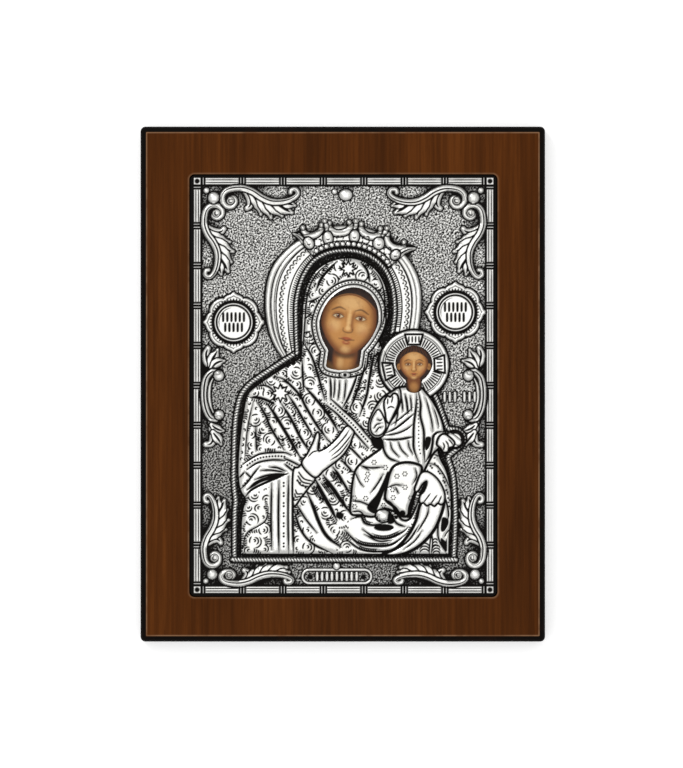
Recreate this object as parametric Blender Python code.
"""Silver icon: a walnut board, a painted sheet and a pressed silver cover with two cut openings.

Built lying on its back. Sizes are in millimetres until the last step; +X is to the right,
+Y up the icon, +Z out of its front. The origin is under the middle of the board's back.
"""
import bpy
import bmesh
import numpy as np
from math import pi, cos, sin, radians, hypot
from mathutils import Vector
from mathutils.geometry import delaunay_2d_cdt

for thing in list(bpy.data.objects):
    bpy.data.objects.remove(thing, do_unlink=True)

MM = 0.001

# ---------------------------------------------------------------- named sizes
BOARD_WIDE, BOARD_TALL, BOARD_THICK = 205.0, 261.0, 15.0
BOARD_CORNER = 2.0                       # radius of the board's corners
POCKET_WIDE, POCKET_TALL = 155.8, 213.8  # recess routed into the front
POCKET_AT = (0.3, -0.8)
POCKET_FLOOR = 12.5
PANEL_LOW, PANEL_HIGH = 12.8, 13.6       # the painted sheet
COVER_LOW, COVER_FACE = 13.9, 14.7       # back and plain ground of the silver cover
COVER_HALF = (77.5, 106.5)
LIFT = 0.8                               # share of the drawn relief that stands up
CENTRE = np.array([0.4, -0.7])           # middle of the silver cover's frame of rods
FIELD = np.array([71.8, 101.1])          # half sizes inside the rods
ROD = 4.1                                # width of the rods
STEP = 0.2                               # spacing of the sampling grid
FOOT = 0.28                              # how far a shape's foot line lies outside it
BIG_BEAD = 1.6                           # a bead from this radius up gets a second ring
SWELL = 2.6                              # distance over which cloth swells up from a fold
SNAP = 0.1                               # facets' corners are kept on this grid
SLIVER = 0.05                            # a facet lower than this is rebuilt
CLOTH_GAP, GROUND_GAP = 4.4, 9.0         # spacing of the loose points between the lines

WALNUT = (0.08, 0.03, 0.01)
SILVER = (0.62, 0.62, 0.61)
OCHRE = (0.42, 0.17, 0.04)


# ---------------------------------------------------------------- curves
def smooth(points, closed=False, steps=6):
    """A round curve through a few points (Catmull-Rom)."""
    p = np.array(points, float)
    if closed:
        p = np.vstack([p[-1:], p, p[:2]])
    else:
        p = np.vstack([2 * p[0] - p[1], p, 2 * p[-1] - p[-2]])
    t = np.linspace(0, 1, steps, endpoint=False)[:, None]
    out = []
    for a, b, c, d in zip(p[:-3], p[1:-2], p[2:-1], p[3:]):
        out.append(0.5 * (2 * b + (c - a) * t + (2 * a - 5 * b + 4 * c - d) * t**2
                          + (3 * b - a - 3 * c + d) * t**3))
    if not closed:
        out.append(p[-2:-1])
    return np.vstack(out)


def arc(centre, radius, start, end, steps=24, squash=1.0):
    a = np.radians(np.linspace(start, end, steps))
    return np.array(centre) + np.column_stack([radius * np.cos(a), radius * squash * np.sin(a)])


def lengths(curve):
    return np.concatenate([[0], np.cumsum(np.hypot(*np.diff(curve, axis=0).T))])


def spaced(curve, gap):
    run = lengths(curve)
    count = max(2, int(round(run[-1] / gap)) + 1)
    at = np.linspace(0, run[-1], count)
    return np.column_stack([np.interp(at, run, curve[:, 0]), np.interp(at, run, curve[:, 1])])


def headings(curve):
    d = np.gradient(curve, axis=0)
    return d / np.maximum(np.hypot(*d.T), 1e-9)[:, None]


def offset(curve, by):
    h = headings(curve)
    return curve + np.column_stack([-h[:, 1], h[:, 0]]) * by


def area(loop):
    x, y = loop[:, 0], loop[:, 1]
    return 0.5 * float(np.sum(x * np.roll(y, -1) - np.roll(x, -1) * y))


def thinned(curve, slack):
    """The same line with the points it can spare left out (Douglas-Peucker)."""
    keep = [0, len(curve) - 1]
    todo = [(0, len(curve) - 1)]
    while todo:
        a, b = todo.pop()
        if b - a < 2:
            continue
        p, q = curve[a], curve[b]
        d = q - p
        span = hypot(*d)
        rest = curve[a + 1:b] - p
        if span < 1e-9:
            far = np.hypot(*rest.T)
        else:
            t = np.clip(rest @ d / span**2, 0, 1)
            far = np.hypot(*(rest - t[:, None] * d).T)
        k = int(np.argmax(far))
        if far[k] > slack:
            keep.append(a + 1 + k)
            todo += [(a, a + 1 + k), (a + 1 + k, b)]
    return curve[sorted(set(keep))]


def dense(curve, gap=0.8):
    """The same line with points added along its longer stretches."""
    out = []
    for a, b in zip(curve[:-1], curve[1:]):
        count = max(1, int(np.ceil(hypot(*(b - a)) / gap)))
        out.append(a + (b - a) * np.linspace(0, 1, count, endpoint=False)[:, None])
    return np.vstack(out + [curve[-1:]])


def dome(t):
    return np.sqrt(1 - (1 - np.clip(t, 0, 1))**2)


def ease(t):
    t = np.clip(t, 0, 1)
    return t * t * (3 - 2 * t)


def within(points, loop):
    """Which of the points lie inside the closed loop."""
    x, y = points[:, 0], points[:, 1]
    mask = np.zeros(len(points), bool)
    for a, b in zip(loop, np.roll(loop, -1, 0)):
        if a[1] == b[1]:
            continue
        span = (a[1] > y) != (b[1] > y)
        mask ^= span & (x < (b[0] - a[0]) * (y - a[1]) / (b[1] - a[1]) + a[0])
    return mask


# ---------------------------------------------------------------- relief
class Relief:
    """Heights of the pressed sheet on a fine grid, and the lines its facets must follow."""

    def __init__(self, low, high, step):
        self.step = step
        self.x = np.arange(low[0], high[0] + step / 2, step)
        self.y = np.arange(low[1], high[1] + step / 2, step)
        shape = (len(self.y), len(self.x))
        self.base = np.zeros(shape)
        self.near = np.full(shape, 9.0)
        self.cloth = np.zeros(shape, bool)
        self.lines = []

    def window(self, low, high):
        c = np.searchsorted(self.x, [low[0], high[0]])
        r = np.searchsorted(self.y, [low[1], high[1]])
        return slice(*r), slice(*c)

    def trace(self, curve, reach):
        """Distance to a curve and the way along it, in a window round the curve."""
        rows, cols = self.window(curve.min(0) - reach, curve.max(0) + reach)
        x, y = self.x[cols], self.y[rows]
        near = np.full((len(y), len(x)), float(reach))
        along = np.zeros_like(near)
        run = 0.0
        for a, b in zip(curve[:-1], curve[1:]):
            span = hypot(*(b - a))
            if span < 1e-9:
                continue
            tx, ty = (b - a) / span
            c0, c1 = np.searchsorted(x, [min(a[0], b[0]) - reach, max(a[0], b[0]) + reach])
            r0, r1 = np.searchsorted(y, [min(a[1], b[1]) - reach, max(a[1], b[1]) + reach])
            if c0 < c1 and r0 < r1:
                dx = x[None, c0:c1] - a[0]
                dy = y[r0:r1, None] - a[1]
                s = np.clip(dx * tx + dy * ty, 0, span)
                d = np.hypot(dx - s * tx, dy - s * ty)
                part = near[r0:r1, c0:c1]
                better = d < part
                part[better] = d[better]
                along[r0:r1, c0:c1][better] = (run + s)[better]
            run += span
        return (rows, cols), near, along, run

    def inside(self, outline, win):
        rows, cols = win
        x, y = self.x[cols], self.y[rows]
        mask = np.zeros((len(y), len(x)), bool)
        for a, b in zip(outline, np.roll(outline, -1, 0)):
            if a[1] == b[1]:
                continue
            lo, hi = (a, b) if a[1] < b[1] else (b, a)
            r0, r1 = np.searchsorted(y, [lo[1], hi[1]])
            if r0 < r1:
                cross = lo[0] + (y[r0:r1] - lo[1]) * (hi[0] - lo[0]) / (hi[1] - lo[1])
                mask[r0:r1] ^= x[None, :] < cross[:, None]
        return mask

    def cover(self, loop):
        """Drop the facet lines that a new shape hides."""
        kept = []
        for line in self.lines:
            free = ~within(line, loop)
            start = None
            for k in range(len(line) + 1):
                if k < len(line) and free[k]:
                    start = k if start is None else start
                elif start is not None:
                    if k - start > 1:
                        kept.append(line[start:k])
                    start = None
        self.lines = kept

    def line(self, curve):
        """A line the facets follow, kept dense so that a later shape can hide part of it."""
        self.lines.append(dense(curve))

    def rim(self, outline, soft, slack=0.25, inner=0.5):
        """Facet lines at the foot and at the shoulder of a raised shape."""
        loop = outline if area(outline) > 0 else outline[::-1]
        closed = np.vstack([loop, loop[:1]])
        thin = thinned(closed, slack)[:-1]
        ahead = np.roll(thin, -1, 0) - thin
        back = thin - np.roll(thin, 1, 0)
        a = ahead / np.hypot(*ahead.T)[:, None]
        b = back / np.hypot(*back.T)[:, None]
        mean = a + b
        mean /= np.maximum(np.hypot(*mean.T), 0.3)[:, None]
        out = np.column_stack([mean[:, 1], -mean[:, 0]])
        self.cover(thin + out * (FOOT + 0.1))
        foot = thin + out * FOOT
        self.line(np.vstack([foot, foot[:1]]))
        shoulder = thin - out * inner
        if inner and abs(area(shoulder)) > 0.5:
            self.line(np.vstack([shoulder, shoulder[:1]]))

    def form(self, outline, rise, soft, cloth=None, floor=None, slack=0.25, inner=0.5):
        """A raised shape that swells by a dome over `soft` from its outline."""
        loop = np.vstack([outline, outline[:1]])
        win, near, _, _ = self.trace(loop, soft + 0.6)
        hit = self.inside(outline, win)
        base = self.base[win]
        under = base if floor is None else np.full_like(base, floor)
        base[hit] = (under + rise * dome(near / soft))[hit]
        self.near[win][hit] = near[hit]
        if cloth is not None:
            self.cloth[win][hit] = cloth
        self.rim(outline, soft, slack, inner)

    def tube(self, curve, wide, rise, ends=(0.3, 0.3), add=False, slack=0.2):
        """A raised round rib that eases to `ends` (shares of its width) at its two ends."""
        win, near, along, run = self.trace(curve, wide / 2 + 0.4)
        w = self.width(along / run, wide, ends)
        hit = near < w
        bump = rise * np.sqrt(np.clip(1 - (near / w)**2, 0, 1))
        level = self.base[win]
        self.base[win] = np.where(hit, np.maximum(level, level * add + bump), level)
        self.near[win][hit] = (w - near)[hit]
        w = self.width(lengths(curve) / run, wide, ends) + FOOT
        h = headings(curve)
        side = np.column_stack([-h[:, 1], h[:, 0]]) * w[:, None]
        left = thinned(curve + side, slack)
        right = thinned(curve - side, slack)[::-1]
        tip, tail = curve[-1] + h[-1] * w[-1], curve[0] - h[0] * w[0]
        outline = np.vstack([left, tip, right, tail])
        self.cover(outline)
        self.line(np.vstack([outline, outline[:1]]))
        self.line(thinned(curve[1:-1], slack))

    def width(self, t, wide, ends):
        """Half width along a rib, t running from 0 to 1."""
        start = ends[0] + (1 - ends[0]) * ease(t / 0.4)
        end = ends[1] + (1 - ends[1]) * ease((1 - t) / 0.4)
        return np.maximum(wide / 2 * start * end, 0.15)

    def fold(self, points, slack=0.35):
        """A valley between two swellings of cloth."""
        curve = smooth(points)
        win, near, _, _ = self.trace(curve, 2.8)
        self.near[win] = np.minimum(self.near[win], near)
        self.line(thinned(curve, slack))

    def bead(self, centre, radius, rise, squash=1.0, turn=0.0, floor=None, sides=8):
        c = np.array(centre, float)
        big = max(radius, radius * squash)
        win = self.window(c - big, c + big)
        X, Y = np.meshgrid(self.x[win[1]] - c[0], self.y[win[0]] - c[1])
        u = X * cos(turn) + Y * sin(turn)
        v = (-X * sin(turn) + Y * cos(turn)) / squash
        d = np.hypot(u, v)
        level = self.base[win]
        low = level if floor is None else floor
        bump = low + rise * np.sqrt(np.clip(1 - (d / radius)**2, 0, 1))
        self.base[win] = np.where(d < radius, np.maximum(level, bump), level)
        self.near[win] = np.where(d < radius, radius - d, self.near[win])
        for k, share in enumerate((1 + FOOT / radius, 0.62)):
            if k and radius < BIG_BEAD:
                break
            a = np.arange(sides) * 2 * pi / sides
            u, v = radius * share * np.cos(a), radius * share * squash * np.sin(a)
            loop = c + np.column_stack([u * cos(turn) - v * sin(turn), u * sin(turn) + v * cos(turn)])
            if not k:
                self.cover(c + (loop - c) * 1.15)
            self.line(np.vstack([loop, loop[:1]]))
        self.line(np.array([c, c + (0.3, 0)]))

    def height(self, p):
        """Height of the sheet's front at points p."""
        i = np.clip((p[:, 0] - self.x[0]) / self.step, 0, len(self.x) - 1.001)
        j = np.clip((p[:, 1] - self.y[0]) / self.step, 0, len(self.y) - 1.001)
        i0, j0 = i.astype(int), j.astype(int)
        u, v = i - i0, j - j0
        h = self.base
        return (h[j0, i0] * (1 - u) * (1 - v) + h[j0, i0 + 1] * u * (1 - v)
                + h[j0 + 1, i0] * (1 - u) * v + h[j0 + 1, i0 + 1] * u * v)

# ---------------------------------------------------------------- border of rods
def bar(r, a, b, half, rise):
    """One straight rounded bar between two points on a line along x or y."""
    along_x = abs(b[0] - a[0]) > abs(b[1] - a[1])
    off = np.array([0, half]) if along_x else np.array([half, 0])
    loop = np.array([a - off, a + off, b + off, b - off])
    loop = loop if area(loop) > 0 else loop[::-1]
    win, near, _, _ = r.trace(np.vstack([loop, loop[:1]]), 1.4)
    hit = r.inside(loop, win)
    r.base[win][hit] = (rise * dome(near / 0.9))[hit]
    centre = loop.mean(0)
    foot = centre + np.sign(loop - centre) * (np.abs(loop - centre) + 0.15)
    r.line(np.vstack([foot, foot[:1]]))
    top = centre + np.sign(loop - centre) * (np.abs(loop - centre) - 0.55)
    r.line(np.vstack([top, top[:1]]))


def rods(r):
    hx, hy = FIELD
    for across, (count, reach, away) in enumerate([(7, hx, hy), (10, hy, hx)]):
        pitch = 2 * reach / count
        for sign in (-1, 1):
            mid = sign * (away + ROD / 2)
            for i in range(count):
                c = -reach + (i + 0.5) * pitch
                half = pitch / 2 - 2.5
                spans = [(c - half, c + half, ROD / 2 - 0.15, 1.2)]
                if i < count - 1:
                    spans.append((c + half + 0.7, c + pitch - half - 0.7, ROD / 2 - 0.3, 1.0))
                for lo, hi, wide, rise in spans:
                    a, b = np.array([lo, mid]), np.array([hi, mid])
                    if across:
                        a, b = a[::-1], b[::-1]
                    bar(r, a + CENTRE, b + CENTRE, wide, rise)
    for sx in (-1, 1):
        for sy in (-1, 1):
            c = CENTRE + np.array([sx * (hx + ROD / 2), sy * (hy + ROD / 2)])
            bar(r, c - (1.9, 0), c + (1.9, 0), 1.9, 1.1)


# ---------------------------------------------------------------- scrolls
SCROLL_SPINE = [(14.0, 6.2), (16.4, 6.0), (17.3, 8.2), (15.6, 10.5), (12.6, 10.4), (10.6, 8.0),
                (10.7, 4.6), (13.0, 2.2), (17.0, 1.2), (21.5, 1.3), (26.0, 3.0), (30.5, 6.0),
                (35.5, 8.0), (41.5, 7.9), (46.3, 6.3), (48.6, 4.0), (47.6, 1.8), (45.3, 2.0),
                (44.8, 3.4)]
SCROLL_LEAVES = [([(21.0, 1.8), (24.6, 3.8), (26.0, 7.4), (25.0, 10.0), (23.3, 10.4)], 2.6, 0.75),
                 ([(25.0, 3.2), (27.6, 7.2), (29.2, 11.0), (29.7, 14.6)], 3.3, 0.3),
                 ([(28.2, 4.8), (31.0, 9.2), (32.8, 12.8), (34.0, 16.2)], 3.5, 0.3),
                 ([(31.5, 6.4), (34.6, 10.0), (37.2, 13.0), (39.4, 15.4)], 3.5, 0.3),
                 ([(35.5, 7.8), (39.5, 10.0), (42.8, 12.2), (45.6, 13.6)], 3.4, 0.3),
                 ([(40.0, 8.3), (43.0, 8.9), (45.2, 9.4), (47.2, 10.0)], 2.6, 0.3)]


def acanthus(r, place):
    """One leafy scroll, drawn along +u from a corner with its leaves towards +v."""
    for points, wide, end in SCROLL_LEAVES:
        r.tube(place(smooth(points)), wide, 1.15, ends=(0.6, end))
    r.tube(place(smooth(SCROLL_SPINE)), 3.0, 1.5, ends=(0.6, 0.65), slack=0.3)
    r.bead(place(np.array([(14.6, 7.6)]))[0], 1.9, 1.5, sides=6)


def corner_scrolls(r):
    for sx in (-1, 1):
        for sy, su, sv, tu, tv in [(1, 1.0, 1.0, 0.95, 0.98), (-1, 0.94, 0.66, 0.94, 0.84)]:
            def in_corner(p):
                """Points measured inwards from one corner of the field."""
                return CENTRE + (sx, sy) * (FIELD - p)

            def flat(p):
                return in_corner(p * (su, sv))

            def upright(p):
                return in_corner(p[:, ::-1] * (tv, tu))

            acanthus(r, upright)
            acanthus(r, flat)
            k = 1.0 if sy > 0 else 0.88
            r.bead(in_corner(np.array((6.0, 6.1)) * k), 2.8 * k, 1.8)
            r.bead(in_corner(np.array((2.3, 2.3)) * k), 1.35 * k, 1.0, sides=6)


SPRAY_LEAVES = [([(-67.3, 8.0), (-68.8, 12.0), (-69.2, 15.4), (-68.2, 18.2)], 2.6, 0.5),
                ([(-67.0, 8.5), (-66.0, 12.5), (-64.4, 15.2), (-63.4, 17.4)], 2.9, 0.3),
                ([(-66.6, 7.8), (-64.6, 10.2), (-62.2, 11.4), (-60.0, 11.8)], 2.6, 0.3),
                ([(-67.4, -18.0), (-66.2, -22.0), (-65.4, -26.0), (-66.6, -30.0), (-69.4, -30.6)],
                2.4, 0.6), ([(-66.4, -20.6), (-64.6, -22.2), (-62.6, -23.2), (-60.4, -23.6)],
                2.4, 0.3), ([(-65.8, -24.4), (-64.2, -26.4), (-62.6, -28.6), (-61.6, -30.6)],
                2.6, 0.3)]
SPRAY_STEM = [(-63.2, 6.0), (-66.2, 6.2), (-69.0, 3.4), (-70.1, -1.0), (-70.3, -7.0), (-69.4, -12.5),
              (-67.4, -16.6), (-64.8, -17.8), (-62.6, -17.2)]


def side_sprays(r):
    for flip in (False, True):
        def place(points):
            p = np.array(points, float)
            return np.column_stack([2 * CENTRE[0] - p[:, 0], p[:, 1]]) if flip else p

        for points, wide, end in SPRAY_LEAVES:
            r.tube(place(smooth(points)), wide, 1.0, ends=(0.5, end))
        r.tube(place(smooth(SPRAY_STEM)), 2.6, 1.3, ends=(0.8, 0.8))
        r.bead(place([(-62.8, 4.3)])[0], 2.5, 1.6)
        r.bead(place([(-62.6, -15.6)])[0], 2.3, 1.5)


# ---------------------------------------------------------------- medallions
def medallion(r, centre):
    c = np.array(centre)
    t = np.linspace(0, 2 * pi, 145)[:-1]
    lobes = 13.3 + 1.0 * np.abs(np.cos(4 * t))
    for k in range(4):
        gap = np.abs((t - k * pi / 2 + pi) % (2 * pi) - pi)
        lobes = lobes + 1.7 * np.exp(-(gap / 0.085)**2)
    ring = np.column_stack([np.cos(t), np.sin(t)])
    r.form(c + ring * lobes[:, None], 0.9, 1.4, slack=0.3, inner=0.7)
    r.line(c + np.vstack([ring, ring[:1]])[::6] * 11.6)
    r.form(c + ring * 10.4, 1.4, 1.5, floor=0.4, slack=0.15, inner=0.7)


# ---------------------------------------------------------------- halo, crown, cord
HALO_OUT = [(-30.5, 13.5), (-34.5, 19.5), (-37.6, 27.0), (-39.2, 36.0), (-39.3, 45.0), (-38.0, 53.5),
            (-35.0, 60.5), (-30.5, 66.0), (-24.0, 71.5), (-14, 77), (0, 80), (14, 78), (25.5, 71.0),
            (32.0, 64.5), (36.5, 57.5), (39.0, 50.0), (39.6, 42.0), (39.0, 34.0), (37.5, 25.0)]
HALO_IN = [(-24.0, 15.5), (-24.4, 23.0), (-24.6, 32.0), (-24.5, 41.0), (-22.9, 49.5), (-19.8, 57.0),
           (-15.0, 63.3), (-8.0, 67.2), (0.5, 68.6), (8.5, 67.8), (16.0, 64.5), (21.8, 59.0),
           (25.4, 51.5), (27.0, 43.0), (27.2, 35.0), (26.0, 26.0)]


def halo(r):
    outer, inner = smooth(HALO_OUT), smooth(HALO_IN)
    r.form(np.vstack([outer, inner[::-1]]), 0.7, 1.2, slack=0.4)
    o = spaced(outer, lengths(outer)[-1] / 60)
    i = spaced(inner, lengths(inner)[-1] / 60)
    r.tube(i + (o - i) * 0.9, 2.9, 1.0, ends=(0.6, 1), add=True, slack=0.3)


CRESTS = [[(-20.2, 79.2), (-19.6, 76.8), (-16.8, 75.2), (-13.6, 75.8), (-11.2, 78.0), (-10.8, 80.6)],
          [(-6.8, 81.6), (-6.4, 78.6), (-4.0, 76.6), (-0.8, 76.4), (2.4, 77.6), (4.0, 80.2),
          (3.2, 82.0)], [(9.4, 81.2), (9.6, 77.8), (12.0, 75.4), (15.6, 74.6), (18.6, 76.0),
          (19.0, 78.8)], [(22.8, 76.0), (22.4, 72.6), (24.4, 69.8), (27.6, 68.8), (30.6, 69.6),
          (31.0, 72.0)]]
BUDS = [((-9.2, 82.6), (-8.2, 78.0)), ((6.6, 82.6), (6.0, 78.6)), ((22.4, 79.0), (20.2, 75.4))]
JEWELS = [((-17.2, 71.4), 2.3, 1.25, 30), ((-7.5, 73.9), 2.3, 1.4, 5), ((5.9, 74.8), 2.3, 1.3, -4),
          ((18.2, 71.2), 2.7, 1.05, 0), ((26.6, 65.4), 2.1, 1.2, -40)]


CROWN_EDGE = [[(24.2, 59.6), (28.6, 64.6), (36.8, 68.4), (34.0, 70.2), (31.0, 69.6)],
              [(27.0, 70.6), (22.0, 75.2), (14.5, 76.4), (6.0, 78.4), (-1.5, 77.2), (-8.5, 78.6),
               (-15.0, 76.4), (-20.0, 75.2)],
              [(-22.0, 77.0), (-25.4, 76.0), (-21.0, 72.4), (-15.2, 65.0)]]
CROWN_LEAF = [(25.0, 61.4), (28.8, 65.6), (33.0, 68.0), (36.6, 68.6)]


def crown(r):
    rim = offset(spaced(smooth(HALO_IN), 1.2), 0.8)
    low = np.array([p for p in rim if p[1] > 58.5 and -15.5 < p[0] < 24.5])
    r.form(np.vstack([low] + [smooth(part) for part in CROWN_EDGE]), 1.1, 1.6, floor=0.8, slack=0.4)
    for crest in CRESTS:
        r.tube(smooth(crest), 2.9, 1.0, ends=(0.8, 0.7), add=True)
    for top, foot in BUDS:
        middle = (np.array(top) + foot) / 2 + (0.3, 0)
        r.tube(smooth([foot, middle, top]), 2.2, 0.8, ends=(0.6, 0.9), add=True)
    r.tube(smooth(CROWN_LEAF), 2.8, 0.9, ends=(0.5, 0.4), add=True)
    for c, radius, squash, turn in JEWELS:
        r.bead(c, radius, 1.2, squash=squash, turn=radians(turn))


ROPE_LEFT = [(-54.8, -89.0), (-54.8, -75.0), (-54.6, -64.0), (-54.2, -59.5), (-54.8, -54.0),
             (-55.2, -48.0), (-55.1, -40.0), (-54.9, -30.0), (-54.4, -20.0), (-53.3, -12.0),
             (-51.4, -5.4), (-47.4, -0.2), (-42.4, 3.6), (-36.0, 7.8), (-30.0, 11.8), (-24.2, 15.4)]
ROPE_RIGHT = [(45.2, -3.0), (48.0, -9.0), (50.6, -16.0), (52.8, -22.0), (55.5, -22.8), (58.4, -23.4),
              (60.8, -25.6), (61.2, -28.4), (59.6, -31.2), (56.6, -33.8), (53.4, -37.0),
              (54.7, -42.0), (56.0, -48.0), (56.6, -56.0), (56.9, -65.0), (56.8, -74.0),
              (56.4, -82.0), (56.2, -89.0)]


def sunk_strip(r):
    """The ground between the cord and the figures lies at the lowest level."""
    rim = np.vstack([smooth(ROPE_LEFT), smooth(HALO_IN), smooth([(26.0, 26.0), (30, 20), (45.2, -3.0)]),
                     smooth(ROPE_RIGHT)])
    win, _, _, _ = r.trace(np.vstack([rim, rim[:1]]), 1)
    r.base[win][r.inside(rim, win)] = 0.0


def cord(r):
    for points in (ROPE_LEFT, ROPE_RIGHT, [(-55.8, -89.0), (0.0, -89.0), (57.2, -89.0)]):
        r.tube(smooth(points), 2.0, 1.3, ends=(1, 1), slack=0.3)
    r.tube(offset(smooth(HALO_IN), -0.9), 1.5, 1.0, ends=(1, 1), slack=0.3)


# ---------------------------------------------------------------- the mother
BODY = [(-52.0, -86.5), (-51.8, -72.0), (-50.8, -63.0), (-49.6, -58.5), (-51.6, -55.0),
        (-52.8, -51.0), (-53.4, -44.0), (-53.0, -34.0), (-52.0, -24.0), (-50.4, -13.0), (-48.4, -5.0),
        (-42.8, 0.2), (-35.8, 5.0), (-28.7, 9.5), (-22.5, 13.2), (-20.9, 16.0), (-21.0, 22.0),
        (-20.6, 28.0), (-20.4, 35.0), (-19.8, 42.0), (-18.0, 48.0), (-15.0, 54.0), (-11.0, 58.5),
        (-6.0, 61.6), (0.0, 63.0), (5.0, 63.2), (9.0, 62.2), (14.0, 59.5), (18.0, 55.5), (21.0, 50.0),
        (22.7, 44.0), (23.2, 38.0), (22.7, 33.0), (21.0, 27.0), (18.0, 22.6)]
BODY_RIGHT = [(22.0, 14.0), (30.0, 2.0), (40.0, -10.0), (47.0, -24.0), (49.0, -36.0), (52.6, -43.7),
              (54.6, -52.0), (55.2, -60.0), (55.2, -68.0), (54.4, -75.0), (54.0, -86.5)]


def face_opening(centre, half, neck, foot, tilt):
    """A plain egg for a head on a straight neck, built from its centre and half sizes.

    The egg narrows below its middle; the neck runs down to `foot`; `tilt` leans the head in degrees.
    """
    wide, tall = half
    top = centre[1] + tall
    t = np.linspace(0, 1, 41)
    y = foot + (top - foot) * (1 - np.cos(pi * t)) / 2
    v = np.clip((y - centre[1]) / tall, -1, 1)
    egg = wide * np.sqrt(1 - v**2) * (1 + 0.18 * np.minimum(v, 0))
    round_end = np.sqrt(np.clip(1 - (1 - np.clip((y - foot) / 2.5, 0, 1))**2, 0, 1))
    half_wide = np.where(v < 0, np.maximum(egg, neck / 2 * round_end), egg)
    lean = np.tan(radians(tilt)) * (y - centre[1])
    x = centre[0] + lean
    right = np.column_stack([x + half_wide, y])
    left = np.column_stack([x - half_wide, y])[::-1]
    return np.vstack([right, left[1:-1]])


# place, half sizes, neck width, foot of the neck and lean of the two heads
FACE_HOLE = face_opening((3.0, 31.0), (15.0, 18.0), 17.0, 7.0, 8.0)
CHILD_HOLE = face_opening((36.0, 10.0), (9.5, 9.5), 8.0, -4.5, 0.0)


CLOAK_FOLDS = [[(-35, 4), (-30, 2.5), (-26, -1), (-21.5, -6), (-19, -11), (-15.5, -17), (-12, -22.5),
               (-7, -29)], [(-20.5, 12), (-20.3, 5), (-19.6, -4)], [(-19.5, -1), (-15, -6),
               (-10, -12), (-6, -17.5), (-2, -24.5)], [(-28, -5), (-24, -11), (-20, -18),
               (-15, -26.5)], [(-31, -10), (-26, -18), (-22, -26), (-17, -34)], [(-39, -9),
               (-35, -14.5), (-31, -21), (-28, -26), (-24, -33), (-21, -38)], [(-43.5, -9),
               (-39.5, -15), (-37, -21), (-33, -28), (-29.5, -33.6)], [(-47, -6.8), (-42, -7),
               (-37, -8.8), (-34.6, -10.4)], [(-50.6, -40.6), (-45, -36.8), (-40, -35.0),
               (-30, -34.6), (-24, -36.5), (-21.4, -39.2)], [(-48.4, -43.2), (-43, -39.8),
               (-36, -38.4), (-29, -38.6), (-24.6, -41.2)], [(-27, -45), (-38, -49.2), (-48.6, -55)]]
ROBE_FOLDS = [[(x, top), (x - 0.3, (top + low) / 2), (x, low)] for x, top, low in
              [(-36.0, -50, -84), (-32.3, -49, -85.5), (-27.4, -46.6, -85.6)]]
HOOD_FOLDS = [[(-7, 61), (-11, 57.5), (-14.6, 53), (-17, 47), (-18.6, 40), (-19.2, 30), (-20, 22),
              (-21, 15)], [(-12.5, 48), (-6, 51.8), (0, 54)], [(13.5, 51.6), (16.6, 49.4), (19, 46.4),
              (19.2, 42.5)], [(-20.5, 21.5), (-16, 14.5), (-13, 6), (-10.5, -3), (-9, -8)],
              [(-17.5, 23.5), (-13, 15), (-10, 5.6), (-7.5, -2), (-6, -8)], [(7.4, 14), (6.4, 4),
              (3.2, -6), (0, -12)], [(10.5, 16), (9.9, 8), (8.4, 0), (6, -7), (3.2, -13.4)],
              [(14.4, 17.6), (13.4, 8), (13.2, 1), (12, -6), (8.4, -16.5)]]
WRAP_FOLDS = [[(-6, -7.5), (0, -13), (7, -19.5), (15, -29)], [(-8.4, -10.6), (-2, -16), (5, -23.5),
              (13, -32.5)], [(2.5, -31), (6, -34.4), (10, -38.6)], [(-0.5, -38.5), (2.4, -41.6),
              (5.5, -44.5)], [(-5, -42), (-2, -46), (0, -49.5), (4, -55.5)], [(-10, -46), (-7, -50),
              (-4, -54), (0, -60), (3.5, -65)], [(-14, -48), (-11, -54), (-7, -61), (-3, -69)],
              [(-19, -55), (-15, -62), (-12, -70), (-8, -79)], [(-24, -61), (-20, -68), (-16.5, -76),
              (-14, -84)], [(10, -73.5), (16, -77.5), (23, -78), (30, -75)], [(1, -75), (8, -80.5),
              (17, -82), (25, -81), (32, -76)], [(43, -40.5), (48, -43), (51, -50), (53.5, -60)]]
ARM = [(20.0, -86.4), (27.0, -83.0), (33.0, -76.6), (37.0, -69.0), (39.4, -60.6), (45.0, -58.0),
       (51.0, -59.0), (49.4, -67.0), (45.4, -75.0), (38.0, -82.4), (29.0, -86.4)]
RIGHT_HAND = [(-20.8, -40.6), (-18.0, -35.2), (-15.2, -29.6), (-13.6, -25.2), (-12.3, -24.3),
              (-11.7, -27.0), (-12.4, -31.2), (-12.2, -33.7), (-9.8, -33.0), (-6.8, -31.0),
              (-2.8, -27.0), (1.0, -22.0), (3.0, -21.2), (4.6, -22.6), (5.8, -24.4), (4.8, -27.4),
              (3.2, -31.6), (-0.6, -36.8), (-5.0, -40.4), (-9.6, -43.8), (-14.3, -47.3)]
LEFT_HAND = [(42.6, -44.2), (46.6, -46.6), (49.6, -50.4), (51.6, -55.4), (51.4, -59.6), (49.8, -61.0),
             (44.4, -60.8), (39.4, -60.4), (38.6, -58.4), (39.8, -54.6), (42.4, -49.4), (40.4, -50.6),
             (38.4, -53.8), (37.0, -54.6), (36.2, -53.0), (37.6, -49.0), (39.4, -45.2)]


def mother(r):
    body = np.vstack([smooth(BODY), smooth(BODY_RIGHT)])
    r.form(body, 2.3, 4.5, cloth=True, floor=0.2, slack=0.35, inner=0.8)
    for points in CLOAK_FOLDS + ROBE_FOLDS + HOOD_FOLDS + WRAP_FOLDS:
        r.fold(points)
    r.form(smooth(ARM, closed=True), 0.9, 3.0, floor=1.9, slack=0.35, inner=0.8)


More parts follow.
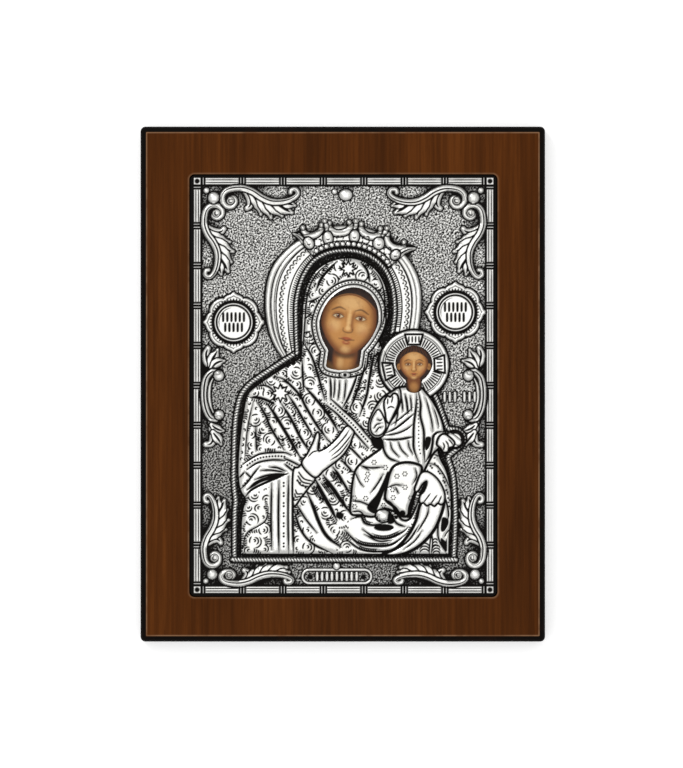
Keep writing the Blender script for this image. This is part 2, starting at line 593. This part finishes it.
def hands(r):
    r.form(smooth(RIGHT_HAND, closed=True), 1.2, 2.2, floor=2.3, slack=0.3, inner=0.7)
    r.form(smooth(LEFT_HAND, closed=True), 1.1, 2.2, floor=2.9, slack=0.3, inner=0.7)


# ---------------------------------------------------------------- the child
CHILD_BODY = [(28.4, -1.6), (25.0, -3.6), (20.5, -6.5), (17.3, -10.4), (14.9, -15.4), (13.0, -21.0),
              (14.2, -25.4), (17.0, -27.6), (19.4, -28.0), (19.6, -32.0), (15.0, -35.6),
              (10.2, -39.2), (6.6, -43.2), (5.0, -49.0), (4.2, -57.0), (4.0, -65.4), (9.4, -66.4),
              (16.0, -67.0), (21.0, -63.0), (27.4, -65.0), (33.4, -66.0), (36.0, -58.0),
              (40.0, -47.0), (42.6, -41.0), (46.0, -35.0), (50.0, -31.0), (51.4, -25.0),
              (50.0, -18.0), (46.6, -10.4), (42.4, -4.6), (38.4, -1.4)]
SLEEVE = [(28.6, -2.0), (25.0, -3.6), (20.5, -6.6), (17.4, -10.4), (15.0, -14.4), (12.9, -20.0),
          (13.4, -24.6), (16.2, -27.2), (19.8, -26.6), (22.0, -23.6), (24.0, -19.4), (27.4, -14.0),
          (29.4, -7.4)]
KNEE = [(24.0, -44.4), (26.6, -41.0), (31.4, -39.6), (36.8, -40.2), (40.0, -42.4), (38.4, -49.0),
        (36.2, -55.6), (33.8, -62.0), (33.0, -66.4), (29.6, -66.6), (26.6, -62.6), (21.6, -58.4),
        (22.2, -51.6)]
FIST = [(48.6, -26.6), (51.4, -25.2), (54.6, -27.2), (56.6, -29.6), (55.8, -31.6), (53.8, -32.4),
        (53.2, -34.2), (51.0, -34.6), (49.4, -32.4), (47.4, -30.4)]
CHILD_FOLDS = [[(31.5, -5), (32.4, -9.6), (33, -15)], [(22, -24.6), (26, -22.8), (30, -20), (36, -15)],
               [(20.5, -28.0), (28, -28.0), (36, -26.6)],
               [(38, -3), (39.4, -10), (39.2, -16), (41, -24), (41, -33), (41.6, -40)],
               [(37, -12), (36, -20), (35.8, -27), (36, -33), (38.4, -39.6)],
               [(51.4, -24), (48.0, -24.4), (45.8, -26.4), (45.4, -30), (44.4, -35), (42, -39.4)],
               [(20.2, -28.4), (20.8, -33.4), (23.4, -37.4), (28.4, -39.4)]]
LAP_FOLDS = [[(23.0, -46.4), (21.0, -52), (19.0, -57.4), (17.0, -62.6)],
             [(20.6, -60.4), (24.4, -62.4), (27.2, -66), (30.6, -69.4)]]


def child(r):
    c = np.array((36.0, 9.6))
    r.form(arc(c, 17.8, 0, 350, 36), 1.2, 1.0, floor=1.0, slack=0.2)
    r.tube(arc(c, 16.8, 0, 360, 37), 1.7, 0.6, ends=(1, 1), add=True)
    r.form(smooth(CHILD_BODY, closed=True), 1.7, 4.0, cloth=True, floor=2.1, slack=0.35, inner=0.8)
    for points in CHILD_FOLDS:
        r.fold(points)
    r.form(smooth(SLEEVE, closed=True), 0.9, 2.6, slack=0.35, inner=0.8)
    r.form(arc((56.8, -28.0), 4.4, 0, 330, 12), 1.0, 1.2, floor=0.8)
    r.form(smooth(FIST, closed=True), 1.2, 1.8, floor=2.3, slack=0.35)
    r.form(smooth(KNEE, closed=True), 0.9, 3.2, slack=0.35, inner=0.8)
    for points in LAP_FOLDS:
        r.fold(points)
    r.bead((20.4, -66.6), 3.4, 1.5, squash=0.85, turn=radians(-10))


def drawn_relief():
    r = Relief(CENTRE - (78, 107), CENTRE + (78, 107), STEP)
    rods(r)
    corner_scrolls(r)
    side_sprays(r)
    medallion(r, (-55.3, 31.3))
    medallion(r, (57.0, 36.4))
    r.bead((1.5, 95.8), 3.2, 1.6, squash=0.85)
    halo(r)
    crown(r)
    r.form(arc((-2.4, -98.0), 17.6, 0, 350, 36, squash=0.14), 0.9, 1.0, slack=0.15, inner=0.4)
    sunk_strip(r)
    cord(r)
    mother(r)
    child(r)
    hands(r)
    r.base += np.where(r.cloth, dome(r.near / SWELL), 0)
    for hole in (FACE_HOLE, CHILD_HOLE):
        r.cover(hole)
    return r


# ---------------------------------------------------------------- facets
class Net:
    """Points and the edges the facets must keep."""

    def __init__(self):
        self.index = {}
        self.points = []
        self.edges = set()

    def point(self, p):
        key = (int(round(p[0] / SNAP)), int(round(p[1] / SNAP)))
        if key not in self.index:
            self.index[key] = len(self.points)
            self.points.append((key[0] * SNAP, key[1] * SNAP))
        return self.index[key]

    def edge(self, a, b):
        if a != b:
            self.edges.add((min(a, b), max(a, b)))

    def line(self, curve):
        ids = [self.point(p) for p in curve]
        for a, b in zip(ids[:-1], ids[1:]):
            self.edge(a, b)


def sliver_sides(verts, faces):
    """For each long side that a third corner almost touches, that corner."""
    flat = {}
    for f in faces:
        for k in range(3):
            a, b, c = (f[(k + j) % 3] for j in range(3))
            d = verts[b] - verts[a]
            height = abs(d.cross(verts[c] - verts[a])) / max(d.length, 1e-9)
            if height < SLIVER and 0 < (verts[c] - verts[a]).dot(d) < d.length_squared:
                flat[tuple(sorted((a, b)))] = c
    return flat


def settle(net, rounds=12):
    """Triangulate until the crossings lie on the grid and no kept edge has a sliver beside it."""
    for _ in range(rounds):
        verts, edges, faces, _, sources, _ = delaunay_2d_cdt(
            [Vector(p) for p in net.points], sorted(net.edges), [], 0, 1e-4)
        fresh = Net()
        ids = [fresh.point(v) for v in verts]
        moved = any((v - Vector(fresh.points[i])).length > 1e-5 for v, i in zip(verts, ids))
        flat = sliver_sides(verts, faces)
        for edge, source in zip(edges, sources):
            if not source:
                continue
            a, b = sorted(edge)
            if (a, b) in flat:
                fresh.edge(ids[a], ids[flat[(a, b)]])
                fresh.edge(ids[flat[(a, b)]], ids[b])
                moved = True
            else:
                fresh.edge(ids[a], ids[b])
        if not moved and len(fresh.points) == len(net.points):
            break
        net = fresh
    return np.array([tuple(v) for v in verts]), [tuple(f) for f in faces]


def cover_net(r):
    net = Net()
    hx, hy = COVER_HALF
    edge = ring(2 * hx, 2 * hy, 2.4, POCKET_AT, 4)
    net.line(np.vstack([edge, edge[:1]]))
    holes = []
    for hole in (FACE_HOLE, CHILD_HOLE):
        thin = thinned(np.vstack([hole, hole[:1]]), 0.15)
        net.line(thin)
        holes.append(np.round(thin[:-1] / SNAP) * SNAP)
    for line in r.lines:
        net.line(thinned(line, 0.06))
    taken = np.array(net.points)
    # loose points between the lines, closer together where cloth swells
    for gap, cloth in ((CLOTH_GAP, True), (GROUND_GAP, False)):
        for x in np.arange(-hx + 3, hx - 2, gap):
            for y in np.arange(-hy + 3, hy - 2, gap):
                i, j = int((x - r.x[0]) / r.step), int((y - r.y[0]) / r.step)
                if r.cloth[j, i] == cloth and np.min(np.hypot(*(taken - (x, y)).T)) > gap * 0.42:
                    net.point((x, y))
    return net, holes


def add_object(name, verts, faces, material):
    mesh = bpy.data.meshes.new(name)
    mesh.from_pydata([tuple(float(c) * MM for c in v) for v in verts], [], faces)
    mesh.materials.append(material)
    body = bmesh.new()
    body.from_mesh(mesh)
    bmesh.ops.remove_doubles(body, verts=body.verts, dist=1e-8)
    bmesh.ops.recalc_face_normals(body, faces=body.faces)
    body.to_mesh(mesh)
    body.free()
    thing = bpy.data.objects.new(name, mesh)
    bpy.context.scene.collection.objects.link(thing)
    return thing


def paint(name, colour, metal, rough):
    material = bpy.data.materials.new(name)
    material.use_nodes = True
    node = material.node_tree.nodes["Principled BSDF"]
    node.inputs["Base Color"].default_value = (*colour, 1)
    node.inputs["Metallic"].default_value = metal
    node.inputs["Roughness"].default_value = rough
    return material


def in_a_hole(points, holes):
    mask = np.zeros(len(points), bool)
    for hole in holes:
        mask |= within(points, hole)
    return mask


def free_edges(faces):
    """Directed edges that belong to one facet only."""
    sides = {(a, b) for f in faces for a, b in zip(f, f[1:] + f[:1])}
    return sorted((a, b) for a, b in sides if (b, a) not in sides)


def silver_cover():
    r = drawn_relief()
    net, holes = cover_net(r)
    points, faces = settle(net)
    centres = np.array([points[list(f)].mean(0) for f in faces])
    faces = [f for f, gone in zip(faces, in_a_hole(centres, holes)) if not gone]
    high = COVER_FACE + LIFT * np.maximum(r.height(points), 0)
    verts = [(x, y, z) for (x, y), z in zip(points, high)]
    # walls down from every free edge
    free = free_edges(faces)
    rim = sorted({k for edge in free for k in edge})
    foot = {k: len(verts) + i for i, k in enumerate(rim)}
    verts += [(points[k][0], points[k][1], COVER_LOW) for k in rim]
    walls = []
    for a, b in free:
        walls += [(b, a, foot[a]), (b, foot[a], foot[b])]
    # the flat back, between the same points
    local = {k: i for i, k in enumerate(rim)}
    edges = [(local[a], local[b]) for a, b in free]
    flat = delaunay_2d_cdt([Vector(points[k]) for k in rim], edges, [], 0, 1e-4)[2]
    centres = np.array([points[[rim[i] for i in f]].mean(0) for f in flat])
    flat = [f for f, gone in zip(flat, in_a_hole(centres, holes)) if not gone]
    back = [tuple(foot[rim[i]] for i in reversed(f)) for f in flat]
    print("cover facets:", len(faces) + len(walls) + len(back), "highest:", round(high.max(), 2), "mm")
    return add_object("silver_cover", verts, faces + walls + back, paint("silver", SILVER, 1.0, 0.3))


def ring(wide, tall, radius, at=(0, 0), steps=5):
    """The corner points of a rectangle with rounded corners."""
    out = []
    for k, (sx, sy) in enumerate([(1, 1), (-1, 1), (-1, -1), (1, -1)]):
        c = np.array(at) + np.array([sx * (wide / 2 - radius), sy * (tall / 2 - radius)])
        out.append(arc(c, radius, 90 * k, 90 * k + 90, steps))
    return np.vstack(out)


def wood_board():
    wide, tall, r = BOARD_WIDE, BOARD_TALL, BOARD_CORNER
    t = BOARD_THICK
    profile = [(0.8, 0.0), (0.0, 0.8), (0.0, t - 2.2), (0.35, t - 1.1), (1.1, t - 0.35), (2.4, t)]
    rings = [(ring(wide - 2 * i, tall - 2 * i, max(r - i * 0.5, 0.5)), z) for i, z in profile]
    for grow, z in [(0.5, t), (0.0, t - 0.5), (0.0, POCKET_FLOOR)]:
        rings.append((ring(POCKET_WIDE + 2 * grow, POCKET_TALL + 2 * grow, 2.5 + grow, POCKET_AT), z))
    verts, faces = [], []
    n = len(rings[0][0])
    for loop, z in rings:
        verts += [(x, y, z) for x, y in loop]
    for k in range(len(rings) - 1):
        for i in range(n):
            j = (i + 1) % n
            faces.append((k * n + i, k * n + j, (k + 1) * n + j, (k + 1) * n + i))
    faces.append(tuple(reversed(range(n))))
    faces.append(tuple(range((len(rings) - 1) * n, len(rings) * n)))
    return add_object("wood_board", verts, faces, paint("walnut", WALNUT, 0.0, 0.4))


def painted_panel():
    loop = ring(151.0, 209.0, 1.0, POCKET_AT, 3)
    n = len(loop)
    verts = [(x, y, z) for z in (PANEL_LOW, PANEL_HIGH) for x, y in loop]
    faces = [(i, (i + 1) % n, n + (i + 1) % n, n + i) for i in range(n)]
    faces += [tuple(reversed(range(n))), tuple(range(n, 2 * n))]
    return add_object("painted_panel", verts, faces, paint("painted sheet", OCHRE, 0.0, 0.5))


wood_board()
painted_panel()
silver_cover()
